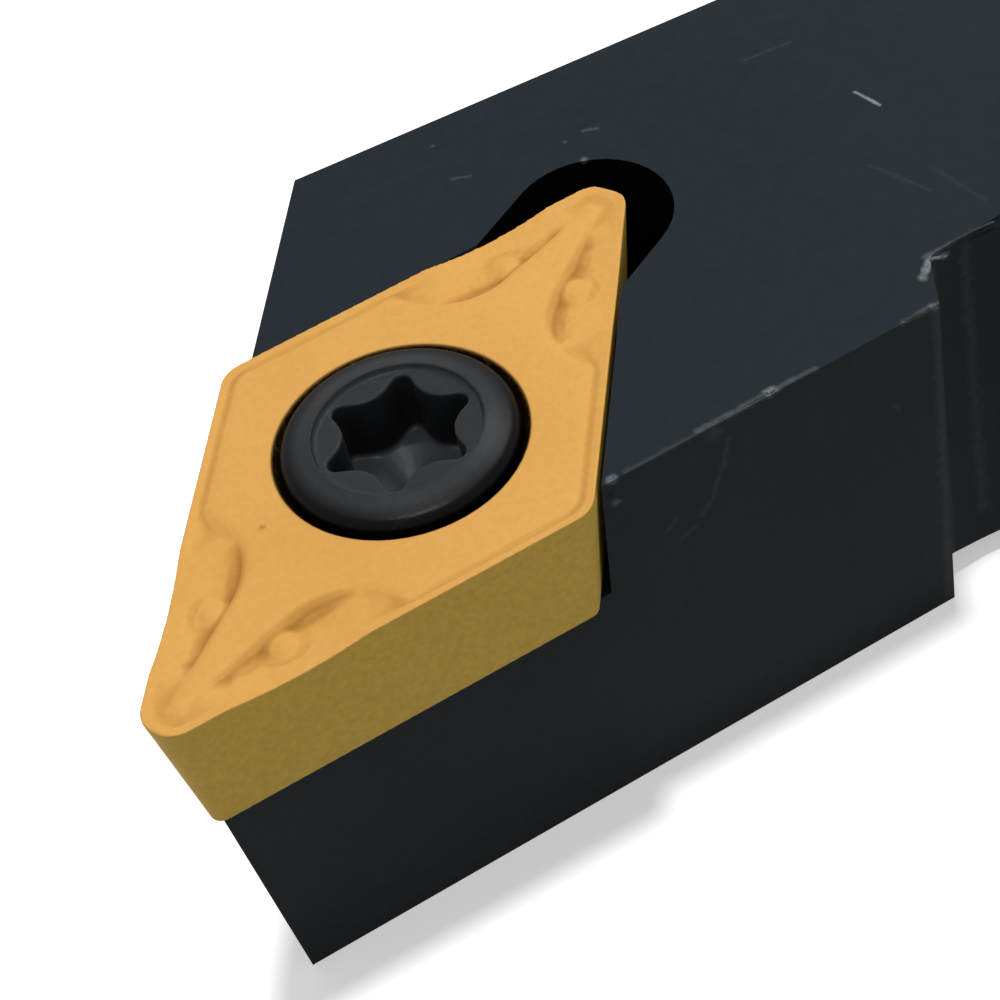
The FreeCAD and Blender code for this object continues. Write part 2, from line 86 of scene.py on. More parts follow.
def copyOfNode(node, name):  # a merged copy of a CAD node's mesh, ready to be finished
    piece = frame["nodes"][node].copy()
    piece.data = piece.data.copy()
    piece.name = name
    piece.data.name = name
    for key in list(piece.keys()):
        del piece[key]
    piece.parent = None
    piece.data.materials.clear()
    scene.collection.objects.link(piece)
    makeActive(piece)
    bpy.ops.object.mode_set(mode="EDIT")
    bpy.ops.mesh.select_all(action="SELECT")
    bpy.ops.mesh.remove_doubles(threshold=mergeDistance)
    bpy.ops.mesh.customdata_custom_splitnormals_clear()
    bpy.ops.object.mode_set(mode="OBJECT")
    return piece


def applyModifier(piece, kind, **values):
    makeActive(piece)
    bpy.ops.object.modifier_add(type=kind)
    modifier = piece.modifiers[-1]
    for key, value in values.items():
        setattr(modifier, key, value)
    bpy.ops.object.modifier_apply(modifier=modifier.name)


def joinInto(piece, others):
    makeActive(piece)
    for other in others:
        other.select_set(True)
    bpy.ops.object.join()


def smoothShading(piece, degrees=180):
    makeActive(piece)
    bpy.ops.object.shade_smooth_by_angle(angle=math.radians(degrees))


def corners(piece):  # the vertices as an array of x, y, z in millimetres
    places = numpy.empty(3 * len(piece.data.vertices))
    piece.data.vertices.foreach_get("co", places)
    return places.reshape(-1, 3) / mm


def moveCorners(piece, places):
    piece.data.vertices.foreach_set("co", (places * mm).ravel())
    piece.data.update()


def facings(piece):  # the vertices' normals
    normals = numpy.empty(3 * len(piece.data.vertices))
    piece.data.vertices.foreach_get("normal", normals)
    return normals.reshape(-1, 3)


def storeMask(piece, name, values):  # one value from 0 to 1 for every vertex
    mask = piece.data.attributes.new(name, "FLOAT", "POINT")
    mask.data.foreach_set("value", numpy.clip(values, 0.0, 1.0))


def fromAxis(places):  # how far each place is from the screw's axis
    return numpy.hypot(places[:, 0] - screwAxis[0], places[:, 1] - screwAxis[1])


class Nodes:  # short calls for wiring one node tree
    def __init__(self, tree):
        self.tree = tree

    def put(self, value, socket):  # a link from a socket, or a plain value
        if isinstance(value, bpy.types.NodeSocket):
            self.tree.links.new(value, socket)
        else:
            socket.default_value = value

    def add(self, kind, inputs=(), **values):
        node = self.tree.nodes.new(kind)
        for key, value in values.items():
            setattr(node, key, value)
        for key, value in dict(inputs).items():
            self.put(value, node.inputs[key])
        return node

    def use(self, group, inputs=()):
        return self.add("ShaderNodeGroup", inputs, node_tree=group).outputs

    def mask(self, name):  # a mask stored on the mesh
        return self.add("ShaderNodeAttribute", attribute_name=name).outputs["Fac"]

    def place(self):
        return self.add("ShaderNodeTexCoord").outputs["Object"]

    def math(self, operation, a, b=0.0, clamp=False):
        return self.add("ShaderNodeMath", {0: a, 1: b}, operation=operation, use_clamp=clamp).outputs[0]

    def vector(self, operation, a, b):
        return self.add("ShaderNodeVectorMath", {0: a, 1: b}, operation=operation).outputs["Vector"]

    def measure(self, operation, a, b):
        return self.add("ShaderNodeVectorMath", {0: a, 1: b}, operation=operation).outputs["Value"]

    def noise(self, vector, scale, detail=3.0, rough=0.5):
        return self.add("ShaderNodeTexNoise", {"Vector": vector, "Scale": scale, "Detail": detail,
                                               "Roughness": rough}).outputs["Fac"]

    def ramp(self, value, low, high, toLow=0.0, toHigh=1.0):
        return self.add("ShaderNodeMapRange", {"Value": value, "From Min": low, "From Max": high,
                                               "To Min": toLow, "To Max": toHigh}).outputs["Result"]

    def mix(self, factor, a, b):
        return self.add("ShaderNodeMix", {0: factor, 6: a, 7: b}, data_type="RGBA").outputs[2]


def newGroup(name, inputs, outputs):  # inputs are (name, kind, default), outputs are names of values
    group = bpy.data.node_groups.new(name, "ShaderNodeTree")
    for socketName, kind, default in inputs:
        socket = group.interface.new_socket(name=socketName, in_out="INPUT", socket_type=kind)
        socket.default_value = default
    for socketName in outputs:
        group.interface.new_socket(name=socketName, in_out="OUTPUT", socket_type="NodeSocketFloat")
    inside = group.nodes.new("NodeGroupInput").outputs
    outside = group.nodes.new("NodeGroupOutput").inputs
    return Nodes(group), inside, outside


def rgb(red, green, blue):  # a colour as a picture shows it, 0 to 255
    parts = []
    for part in (red, green, blue):
        part /= 255
        parts.append(part / 12.92 if part <= 0.04045 else ((part + 0.055) / 1.055) ** 2.4)
    return (*parts, 1.0)


def grey(tone):  # as light reflects it, 0 to 1
    return (tone, tone, tone, 1.0)


# The materials share their effects, each of them a group of nodes.
effectValues = {
    "raggedScale": 3500.0,
    "raggedness": 1.7,            # how far the noise eats into a mark's outline
    "directions": ((0.5, 0.0), (1.9, 0.37), (-0.7, 0.81)),  # a turn and a shift for each set of scratches
    "stretch": (1.0, 0.05, 0.3),  # draws the noise out into lines
    "fineness": 9.0,              # scratches for each patch of them
    "lineWidth": 0.012,
    "patchFrom": 0.62,
    "patchFull": 0.72,
    "wearFrom": 0.85,             # edges wear where the noise is over this, less the amount of wear
    "wearSharpness": 2.5,
}


def makeSurfaceGroup():  # slow drift of tone, a fine grain and the raggedness of marks
    n, inside, outside = newGroup("surfaceDrift", [
        ("Drift Scale", "NodeSocketFloat", 150.0), ("Grain Scale", "NodeSocketFloat", 4000.0)],
        ["Drift", "Grain", "Ragged"])
    place = n.place()
    drift = n.noise(place, inside["Drift Scale"], 4.0, 0.6)
    grain = n.noise(place, inside["Grain Scale"], 2.0, 0.5)
    ragged = n.noise(place, effectValues["raggedScale"], 3.0, 0.6)
    n.put(n.ramp(drift, 0.3, 0.7), outside["Drift"])
    n.put(n.ramp(grain, 0.25, 0.75), outside["Grain"])
    n.put(n.math("SUBTRACT", ragged, 0.5), outside["Ragged"])
    return n.tree


def makeScratchGroup():  # short fine scratches, scattered and in a few directions
    n, inside, outside = newGroup("fineScratches", [("Scale", "NodeSocketFloat", 260.0)], ["Scratches"])
    place = n.place()
    total = 0.0
    for turn, seed in effectValues["directions"]:
        turned = n.add("ShaderNodeMapping", {"Vector": place, "Location": (seed, seed, 0.0),
                                             "Rotation": (0.35 * turn, 0.2, turn),
                                             "Scale": effectValues["stretch"]}).outputs[0]
        lines = n.noise(turned, n.math("MULTIPLY", inside["Scale"], effectValues["fineness"]), 1.0, 0.4)
        offLine = n.math("ABSOLUTE", n.math("SUBTRACT", lines, 0.5))
        thin = n.ramp(offLine, 0.0, effectValues["lineWidth"], 1.0, 0.0)
        patches = n.ramp(n.noise(turned, inside["Scale"], 2.0, 0.5),
                         effectValues["patchFrom"], effectValues["patchFull"])
        total = n.math("MAXIMUM", total, n.math("MULTIPLY", thin, patches))
    n.put(total, outside["Scratches"])
    return n.tree


def makeWearGroup():  # worn edges: the mesh's own edge mask, broken up by noise
    n, inside, outside = newGroup("edgeWear", [
        ("Breakup Scale", "NodeSocketFloat", 700.0), ("Amount", "NodeSocketFloat", 0.5)], ["Wear"])
    edges = n.mask("edgeMask")
    breakup = n.noise(n.place(), inside["Breakup Scale"], 4.0, 0.65)
    over = n.math("SUBTRACT", breakup, n.math("SUBTRACT", effectValues["wearFrom"], inside["Amount"]))
    patches = n.math("MULTIPLY", over, effectValues["wearSharpness"], clamp=True)
    n.put(n.math("MULTIPLY", edges, patches, clamp=True), outside["Wear"])
    return n.tree


def makeMarkGroup():  # one mark along a line between two points, with a ragged outline
    n, inside, outside = newGroup("lineMark", [
        ("Start", "NodeSocketVector", (0, 0, 0)), ("End", "NodeSocketVector", (0, 0, 0)),
        ("Width", "NodeSocketFloat", 0.0001), ("Strength", "NodeSocketFloat", 1.0),
        ("Ragged", "NodeSocketFloat", 0.0)], ["Mark"])
    along = n.vector("SUBTRACT", inside["End"], inside["Start"])
    away = n.vector("SUBTRACT", n.place(), inside["Start"])
    share = n.math("DIVIDE", n.measure("DOT_PRODUCT", away, along),
                   n.measure("DOT_PRODUCT", along, along), clamp=True)
    foot = n.add("ShaderNodeVectorMath", {0: along, "Scale": share}, operation="SCALE").outputs["Vector"]
    gap = n.math("DIVIDE", n.measure("DISTANCE", away, foot), inside["Width"])
    reach = n.math("ADD", gap, n.math("MULTIPLY", inside["Ragged"], effectValues["raggedness"]))
    n.put(n.math("MULTIPLY", n.ramp(reach, 0.0, 1.0, 1.0, 0.0), inside["Strength"]), outside["Mark"])
    return n.tree


surfaceDrift = makeSurfaceGroup()
fineScratches = makeScratchGroup()
edgeWear = makeWearGroup()
lineMark = makeMarkGroup()


def newMaterial(name):
    material = bpy.data.materials.new(name)
    material.use_nodes = True
    return material, Nodes(material.node_tree), material.node_tree.nodes["Principled BSDF"]


def marksMask(n, marks, ragged):  # the strongest of several line marks, sizes in millimetres
    total = 0.0
    for start, end, width, strength in marks:
        mark = n.use(lineMark, {"Start": [c * mm for c in start], "End": [c * mm for c in end],
                                "Width": width * mm, "Strength": strength, "Ragged": ragged})
        total = n.math("MAXIMUM", total, mark["Mark"])
    return total


def setFinish(n, shader, surface, values):  # roughness, gloss and the fine grain
    rough = n.ramp(surface["Drift"], 0.0, 1.0, values["roughLow"], values["roughHigh"])
    bump = n.add("ShaderNodeBump", {"Height": surface["Grain"], "Distance": values["grainHeight"]})
    n.put(rough, shader.inputs["Roughness"])
    n.put(bump.outputs["Normal"], shader.inputs["Normal"])
    n.put(values["specular"], shader.inputs["Specular IOR Level"])


def makeBlackSteel(values):
    material, n, shader = newMaterial(values["name"])
    surface = n.use(surfaceDrift, {"Drift Scale": values["driftScale"], "Grain Scale": values["grainScale"]})
    scratches = n.use(fineScratches, {"Scale": values["scratchScale"]})["Scratches"]
    wear = n.use(edgeWear, {"Breakup Scale": values["wearScale"], "Amount": values["wearAmount"]})["Wear"]
    base = n.mix(surface["Drift"], values["dark"], values["light"])
    # painted shade: upright faces take their own tone, more the steeper they are
    base = n.mix(n.mask("side"), base, values["side"])
    base = n.mix(n.math("MULTIPLY", surface["Grain"], values["grainTone"]), base, values["speck"])
    # painted shade in the relief and on the screw head's rim, with the real pits, all mixed to one
    # near-black
    shadeAndPitDark = n.math("MAXIMUM", n.mask("recessShade"), marksMask(n, values["pits"], surface["Ragged"]))
    base = n.mix(shadeAndPitDark, base, values["shadeAndPitDark"])
    # bare steel on worn edges and scratches, and painted highlight stripes from two of the marks
    wearAndHighlight = n.math("MAXIMUM", n.math("MULTIPLY", scratches, values["scratchTone"]), wear)
    wearAndHighlight = n.math("MAXIMUM", wearAndHighlight, marksMask(n, values["marks"], surface["Ragged"]))
    n.put(n.mix(wearAndHighlight, base, values["bareSteelAndHighlight"]), shader.inputs["Base Color"])
    n.put(n.math("MULTIPLY", wearAndHighlight, values["bareMetal"]), shader.inputs["Metallic"])
    setFinish(n, shader, surface, values)
    return material


def makeGoldCoating(values):
    material, n, shader = newMaterial(values["name"])
    surface = n.use(surfaceDrift, {"Drift Scale": values["driftScale"], "Grain Scale": values["grainScale"]})
    base = n.mix(surface["Drift"], values["deep"], values["light"])
    # painted light: the steep flank faces take a lighter gold
    base = n.mix(n.mask("flankPaintedLight"), base, values["flankPaintedLight"])
    base = n.mix(n.math("MULTIPLY", surface["Grain"], values["grainTone"]), base, values["speck"])
    # painted shade: the chipbreaker's hollows darken to a deep brown
    base = n.mix(n.math("MULTIPLY", n.mask("hollowShade"), values["hollowShadeTone"]), base, values["hollowShade"])
    base = n.mix(marksMask(n, values["marks"], surface["Ragged"]), base, values["pit"])
    # painted shade: the screw hole's wall goes near black
    n.put(n.mix(n.mask("boreShade"), base, values["boreShade"]), shader.inputs["Base Color"])
    n.put(values["metallic"], shader.inputs["Metallic"])
    setFinish(n, shader, surface, values)
    return material


# The holder's body keeps the CAD mesh with every edge rounded.
holderValues = {
    "flatAngle": 1.0,             # degrees; faces that meet at less are made one
    "edgeWidth": 0.07 * mm,
    "edgeSegments": 3,
    "edgeAngle": 22,              # degrees; only sharper edges are rounded
    "edgeFaces": 0.4,             # the most area over outline of an edge's face, in edge widths
    "smoothAngle": 35,
    "flatWeight": 50,             # how much the large faces set the shading
    "reliefAxis": (0.0758, -34.878),  # the corner relief whose walls get painted shade, in millimetres
    "reliefReach": 2.9,
    "reliefTop": 11.9,
}
topFace = 12.0  # its height in millimetres
holderMarks = [  # start, end, half width, strength
    ((-0.155, -27.237, topFace), (0.666, -26.98, topFace), 0.07, 0.85),
    ((-3.002, -28.91, topFace), (-2.947, -27.605, topFace), 0.07, 0.08),
    ((-1.927, -34.127, topFace), (-1.927, -34.127, topFace), 0.14, 0.5),
    ((-2.856, -34.236, topFace), (-2.856, -34.236, topFace), 0.09, 0.21),
    ((-2.972, -33.663, topFace), (-2.861, -33.31, topFace), 0.09, 0.21),
    ((-4.821, -37.208, topFace), (-4.821, -37.208, topFace), 0.1, 0.21),
    ((-3.288, -37.282, topFace), (-3.115, -36.843, topFace), 0.08, 0.14),
    ((2.509, -28.317, topFace), (4.156, -27.592, topFace), 0.09, 0.04),
    ((3.368, -27.127, topFace), (5.227, -26.709, topFace), 0.09, 0.03),
    ((6.127, -28.891, topFace), (6.0, -26.5, topFace), 0.12, 0.24),
    ((6.705, -29.312, topFace), (6.299, -28.859, topFace), 0.14, 0.85),
    ((6.299, -28.859, topFace), (6.083, -28.311, 11.685), 0.14, 0.8),
    ((7.745, -30.381, topFace), (7.653, -29.551, 11.98), 0.13, 0.24),
    ((7.66, -29.6, topFace), (7.64, -29.5, 11.95), 0.15, 0.6),
    ((8.359, -37.936, topFace), (8.23, -35.996, topFace), 0.1, 0.1),
    ((8.16, -35.996, topFace), (7.98, -34.0, topFace), 0.13, 0.22),
    ((7.98, -34.05, topFace), (7.96, -33.95, topFace), 0.18, 0.7),
    ((7.96, -33.9, topFace), (7.888, -32.817, topFace), 0.1, 0.21),
    ((8.391, -38.329, topFace), (8.391, -38.25, 11.95), 0.18, 0.6),
    ((8.391, -38.307, 11.196), (8.391, -38.307, 11.196), 0.17, 0.5),
    ((8.134, -35.287, 11.298), (8.097, -35.498, 10.498), 0.13, 0.11),
    ((8.097, -35.498, 10.498), (8.064, -35.83, 9.618), 0.12, 0.09),
    ((8.064, -35.83, 9.618), (8.06, -36.185, 9.12), 0.12, 0.08),
    ((8.063, -36.436, 8.846), (8.089, -36.872, 8.675), 0.12, 0.08),
    ((8.154, -37.137, 9.272), (8.147, -36.894, 9.472), 0.12, 0.08),
    ((8.194, -35.594, 11.773), (8.194, -35.594, 11.773), 0.35, 0.1),
    ((7.602, -30.793, 9.317), (7.562, -30.6, 8.992), 0.1, 0.07),
    # the next two long upright stripes are painted highlights on the rear edge and the neck
    ((7.62, -29.5, 11.9), (6.84, -29.2, 0.2), 0.22, 0.11),
    ((6.07, -27.761, 11.57), (6.0, -27.632, 2.0), 0.24, 0.1),
]
oxideValues = {
    "name": "blackOxide", "driftScale": 90.0, "grainScale": 2600.0, "scratchScale": 170.0,
    "scratchTone": 0.07, "wearScale": 420.0, "wearAmount": 0.21, "marks": holderMarks,
    "dark": rgb(30, 36, 42), "light": rgb(35, 41, 47), "speck": rgb(48, 53, 58), "grainTone": 0.25,
    # painted shade tone for the upright faces
    "side": rgb(34, 40, 42),
    "bareSteelAndHighlight": rgb(140, 145, 146), "bareMetal": 0.2, "roughLow": 0.5, "roughHigh": 0.6,
    # the near-black holds painted shade in the relief and the real pits
    "specular": 0.04, "grainHeight": 0.004 * mm, "shadeAndPitDark": rgb(6, 6, 7),
    "pits": [((8.43, -38.41, 11.607), (8.43, -38.41, 11.607), 0.2, 1.0)],
}


def markEdges(piece, width):  # a mask that is 1 on the narrow faces of the rounded edges
    mask = piece.data.attributes.new("edgeMask", "FLOAT", "CORNER")
    spots = piece.data.vertices
    for face in piece.data.polygons:
        around = sum((spots[a].co - spots[b].co).length for a, b in face.edge_keys)
        if face.area / around < width:
            for corner in face.loop_indices:
                mask.data[corner].value = 1.0


def markWalls(piece, values):  # masks of painted shade: the upright faces, and the relief's walls
    side = piece.data.attributes.new("side", "FLOAT", "CORNER")
    recessShade = piece.data.attributes.new("recessShade", "FLOAT", "CORNER")
    for face in piece.data.polygons:
        middle = face.center / mm
        reach = math.hypot(middle.x - values["reliefAxis"][0], middle.y - values["reliefAxis"][1])
        inside = reach < values["reliefReach"] and middle.z < values["reliefTop"]
        for corner in face.loop_indices:
            side.data[corner].value = min(1.0, 1.0 - face.normal.z)
            recessShade.data[corner].value = float(inside)


holder = copyOfNode("holder_body", "holderFinished")
bpy.ops.object.mode_set(mode="EDIT")
bpy.ops.mesh.select_all(action="SELECT")
bpy.ops.mesh.dissolve_limited(angle_limit=math.radians(holderValues["flatAngle"]))
bpy.ops.object.mode_set(mode="OBJECT")
applyModifier(holder, "BEVEL", width=holderValues["edgeWidth"], segments=holderValues["edgeSegments"],
              limit_method="ANGLE", angle_limit=math.radians(holderValues["edgeAngle"]),
              use_clamp_overlap=True)
markEdges(holder, holderValues["edgeFaces"] * holderValues["edgeWidth"])
markWalls(holder, holderValues)
smoothShading(holder, holderValues["smoothAngle"])
applyModifier(holder, "WEIGHTED_NORMAL", mode="FACE_AREA", weight=holderValues["flatWeight"],
              keep_sharp=True)
blackOxide = makeBlackSteel(oxideValues)
holder.data.materials.append(blackOxide)
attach(holder, "holder")
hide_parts("holder_body")
print("holder body:", len(holder.data.polygons), "faces")

# Small dents pushed the holder's sharp corners up into burrs.
burrValues = {
    "paths": [  # points and half thickness in millimetres
        ([(6.78, -29.36, 11.98), (6.6, -29.2, 12.0), (6.42, -29.02, 11.99), (6.27, -28.86, 12.0)], 0.045),
        ([(6.27, -28.86, 12.0), (6.2, -28.72, 11.93), (6.14, -28.5, 11.8), (6.08, -28.31, 11.7)], 0.05),
        ([(6.03, -28.3, 11.98), (5.99, -27.6, 12.0), (5.98, -26.9, 11.99)], 0.03),
        ([(7.72, -30.35, 11.99), (7.69, -30.0, 12.0), (7.65, -29.6, 11.98)], 0.035),
        ([(7.65, -29.6, 11.98), (7.63, -29.52, 11.9)], 0.06),
        ([(8.16, -35.9, 11.98), (8.1, -35.3, 12.0), (8.05, -34.7, 11.99), (7.98, -34.1, 12.0)], 0.03),
        ([(7.99, -34.12, 12.0), (7.96, -33.9, 11.99)], 0.06),
        ([(8.37, -38.34, 11.98), (8.36, -38.2, 12.0)], 0.06),
        ([(8.33, -38.33, 11.3), (8.32, -38.3, 11.15)], 0.05),
    ],
    "seed": 5,
    "spread": 0.02,
    "legSteps": 4,                # points for each straight leg of a path
    "thinnest": 0.5,              # shares of a path's half thickness
    "thickest": 1.1,
    "smoothRounds": 2,
    "smoothFactor": 0.5,
    "voxel": 0.014 * mm,
    "rough": 0.03 * mm,
    "roughScale": 0.12 * mm,
}


def burrAlong(points, thickness, values, dice):  # a thin uneven bead of metal along a path
    curve = bpy.data.curves.new("burr", "CURVE")
    curve.dimensions = "3D"
    curve.bevel_depth = thickness * mm
    curve.bevel_resolution = 2
    curve.use_fill_caps = True
    steps = values["legSteps"]
    spots = []
    for a, b in zip(points, points[1:]):
        spots += [Vector(a).lerp(Vector(b), step / steps) for step in range(steps)]
    spots.append(Vector(points[-1]))
    spline = curve.splines.new("POLY")
    spline.points.add(len(spots) - 1)
    for point, spot in zip(spline.points, spots):
        shift = Vector([dice.uniform(-1, 1) * values["spread"] for _ in range(3)])
        point.co = (*((spot + shift) * mm), 1.0)
        point.radius = dice.uniform(values["thinnest"], values["thickest"])
    burr = bpy.data.objects.new("burr", curve)
    scene.collection.objects.link(burr)
    makeActive(burr)
    bpy.ops.object.convert(target="MESH")
    return burr


dice = random.Random(burrValues["seed"])
burrs = [burrAlong(points, thickness, burrValues, dice) for points, thickness in burrValues["paths"]]
edgeBurrs = burrs[0]
joinInto(edgeBurrs, burrs[1:])
edgeBurrs.name = "edgeBurrs"
lumps = bpy.data.textures.new("burrLumps", "CLOUDS")
lumps.noise_scale = burrValues["roughScale"]
applyModifier(edgeBurrs, "REMESH", mode="VOXEL", voxel_size=burrValues["voxel"], use_smooth_shade=True)
applyModifier(edgeBurrs, "DISPLACE", texture=lumps, strength=burrValues["rough"], mid_level=0.5)
applyModifier(edgeBurrs, "SMOOTH", factor=burrValues["smoothFactor"], iterations=burrValues["smoothRounds"])
smoothShading(edgeBurrs)
edgeBurrs.data.materials.append(blackOxide)
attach(edgeBurrs, "holder")
print("edge burrs:", len(edgeBurrs.data.polygons), "faces")

# The insert is a fine even mesh, so its moulded chipbreaker can be softened.
insertValues = {
    "voxel": 0.028 * mm,
    "smoothRounds": 10,
    "softRounds": 160,
    "smoothFactor": 0.5,
    "softFrom": 0.12,             # millimetres inwards from the cutting edge
    "softFull": 0.4,
    "top": 12.1,
    "softBelow": 0.7,
    "holeKeep": 3.3,
    "inscribedRadius": 4.7625,
    "halfCorner": math.radians(27.5),
    "turn": math.radians(122.5),  # the long diagonal's direction
    "triangleLimit": 190000,
    "hollows": [(40, 0.011), (90, 0.015)],  # rounds of smoothing, and a full hollow's depth in millimetres
    "hollowFloor": 0.003,         # shallower hollows stay unmarked
    "hollowFacing": 0.5,          # and so do steeper places
    "flankFacing": 3.0,           # how fast the painted light on the flank gives way to the top's tone
    "boreEdge": 3.13,
    "boreFade": 0.07,
}
goldValues = {
    "name": "goldCoating", "driftScale": 260.0, "grainScale": 5200.0, "deep": rgb(220, 164, 85),
    # the flank colour is a lighter gold, painted light for the steep faces
    "light": rgb(227, 173, 95), "speck": rgb(205, 150, 70), "grainTone": 0.3, "flankPaintedLight": rgb(250, 210, 99),
    # the hollow colour is painted shade; the pit colour is a real pit
    "hollowShade": rgb(140, 85, 22), "hollowShadeTone": 0.78, "pit": rgb(110, 70, 30),
    "marks": [((5.365, -45.756, 12.1), (5.365, -45.756, 12.1), 0.12, 0.6)],
    # near-black painted shade for the screw hole's wall
    "boreShade": rgb(20, 11, 5),
    "roughLow": 0.5, "roughHigh": 0.58, "metallic": 0.05, "specular": 0.04, "grainHeight": 0.003 * mm,
}


def softShare(places, values):  # how far each vertex belongs to the chipbreaker's inner surface
    x = places[:, 0] - screwAxis[0]
    y = places[:, 1] - screwAxis[1]
    along = numpy.abs(x * math.cos(values["turn"]) + y * math.sin(values["turn"]))
    across = numpy.abs(y * math.cos(values["turn"]) - x * math.sin(values["turn"]))
    inwards = (values["inscribedRadius"] - along * math.sin(values["halfCorner"])
               - across * math.cos(values["halfCorner"]))
    share = (inwards - values["softFrom"]) / (values["softFull"] - values["softFrom"])
    share[fromAxis(places) < values["holeKeep"]] = 0.0
    share[places[:, 2] < values["top"] - values["softBelow"]] = 0.0
    return numpy.clip(share, 0.0, 1.0)


def weighGroup(piece, name, weights, levels=10):
    group = piece.vertex_groups.new(name=name)
    steps = numpy.round(weights * levels).astype(int)
    for step in range(1, levels + 1):
        chosen = numpy.flatnonzero(steps == step).tolist()
        if chosen:
            group.add(chosen, step / levels, "REPLACE")


def markHollows(piece, values):  # painted shade: a mask of how far each place lies in a narrow or a wide hollow
    share = 0.0
    for rounds, depth in values["hollows"]:
        soft = piece.copy()
        soft.data = piece.data.copy()
        scene.collection.objects.link(soft)
        applyModifier(soft, "SMOOTH", factor=values["smoothFactor"], iterations=rounds)
        rise = ((corners(soft) - corners(piece)) * facings(piece)).sum(axis=1)
        share = numpy.maximum(share, (rise - values["hollowFloor"]) / depth)
        softMesh = soft.data
        bpy.data.objects.remove(soft)
        bpy.data.meshes.remove(softMesh)
    storeMask(piece, "hollowShade", share * (facings(piece)[:, 2] > values["hollowFacing"]))


insert = copyOfNode("cutting_insert", "insertFinished")
pattern = copyOfNode("cutting_insert", "insertPattern")
applyModifier(insert, "REMESH", mode="VOXEL", voxel_size=insertValues["voxel"], use_smooth_shade=True)
applyModifier(insert, "SHRINKWRAP", target=pattern)  # takes the steps out of the voxel mesh
patternMesh = pattern.data
bpy.data.objects.remove(pattern)
bpy.data.meshes.remove(patternMesh)
applyModifier(insert, "SMOOTH", factor=insertValues["smoothFactor"], iterations=insertValues["smoothRounds"])
weighGroup(insert, "chipbreaker", softShare(corners(insert), insertValues))
applyModifier(insert, "SMOOTH", factor=insertValues["smoothFactor"], iterations=insertValues["softRounds"],
              vertex_group="chipbreaker")
triangles = 2 * len(insert.data.polygons)
applyModifier(insert, "DECIMATE", ratio=min(1.0, insertValues["triangleLimit"] / triangles))
insert.vertex_groups.clear()
markHollows(insert, insertValues)
# mask for the painted shade in the screw hole
storeMask(insert, "boreShade", (insertValues["boreEdge"] - fromAxis(corners(insert))) / insertValues["boreFade"])
# mask for the painted light on the steep faces
storeMask(insert, "flankPaintedLight", 1.0 - insertValues["flankFacing"] * facings(insert)[:, 2])
smoothShading(insert)
insert.data.materials.append(makeGoldCoating(goldValues))
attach(insert, "insert")
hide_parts("cutting_insert")
print("cutting insert:", len(insert.data.polygons), "faces")

# The screw gets its real thread: the shank is thinned to the thread's core and a ridge is wound round it.
screwValues = {
    "threadTop": 8.66,            # millimetres
    "threadBottom": 3.1,
    "pitch": 0.6,
    "coreRadius": 1.43,
    "crestRadius": 1.73,
    "crestFlat": 0.06,
    "rootWidth": 0.5,
    "rootSink": 0.06,             # the ridge reaches this far into the core
    "neckReach": 0.05,            # and the thinned shank this far over the thread
    "turnSteps": 48,
    "voxel": 0.055 * mm,
    "smoothRounds": 2,
    "smoothFactor": 0.5,
    "rimFrom": 2.35,              # painted shade darkens the head from here outwards
    "rimFade": 0.35,
    "rimLow": 11.0,
}
steelValues = {
    "name": "screwSteel", "driftScale": 300.0, "grainScale": 5000.0, "scratchScale": 400.0,
    "scratchTone": 0.05, "wearScale": 900.0, "wearAmount": 0.0, "marks": [], "pits": [],
    "dark": rgb(41, 43, 45), "light": rgb(49, 51, 54), "speck": rgb(60, 62, 65), "grainTone": 0.2,
    # painted shade tone for upright faces; the screw's mesh carries no such mask
    "side": rgb(45, 47, 49),
    "bareSteelAndHighlight": rgb(130, 130, 130), "bareMetal": 0.7, "roughLow": 0.32, "roughHigh": 0.42,
    "specular": 0.075, "grainHeight": 0.002 * mm,
    # near-black painted shade for the head's rim
    "shadeAndPitDark": rgb(5, 5, 6),
}


def thinShank(piece, values):
    places = corners(piece)
    offset = places[:, :2] - screwAxis
    radius = fromAxis(places)
    threaded = (places[:, 2] < values["threadTop"] + values["neckReach"]) & (radius > values["coreRadius"])
    offset[threaded] *= (values["coreRadius"] / radius[threaded])[:, None]
    places[:, :2] = screwAxis + offset
    moveCorners(piece, places)


def threadRidge(values):
    half = values["rootWidth"] / 2
    flat = values["crestFlat"] / 2
    inner = values["coreRadius"] - values["rootSink"]
    section = [(inner, -half), (values["crestRadius"], -flat), (values["crestRadius"], flat), (inner, half)]
    mesh = bpy.data.meshes.new("thread")
    mesh.from_pydata([(x * mm, 0.0, z * mm) for x, z in section], [(0, 1), (1, 2), (2, 3), (3, 0)], [])
    ridge = bpy.data.objects.new("thread", mesh)
    scene.collection.objects.link(ridge)
    turns = int((values["threadTop"] - values["threadBottom"] - values["rootWidth"]) / values["pitch"])
    applyModifier(ridge, "SCREW", steps=values["turnSteps"], render_steps=values["turnSteps"],
                  screw_offset=values["pitch"] * mm, iterations=turns, axis="Z")
    ridge.location = (screwAxis[0] * mm, screwAxis[1] * mm, (values["threadBottom"] + half) * mm)
    bpy.ops.object.transform_apply(location=True)
    bpy.ops.object.mode_set(mode="EDIT")
    bpy.ops.mesh.select_all(action="SELECT")
    bpy.ops.mesh.fill_holes(sides=4)
    bpy.ops.mesh.normals_make_consistent(inside=False)
    bpy.ops.object.mode_set(mode="OBJECT")
    return ridge


screw = copyOfNode("clamp_screw", "screwFinished")
thinShank(screw, screwValues)
joinInto(screw, [threadRidge(screwValues)])
applyModifier(screw, "REMESH", mode="VOXEL", voxel_size=screwValues["voxel"], use_smooth_shade=True)
applyModifier(screw, "SMOOTH", factor=screwValues["smoothFactor"], iterations=screwValues["smoothRounds"])
places = corners(screw)
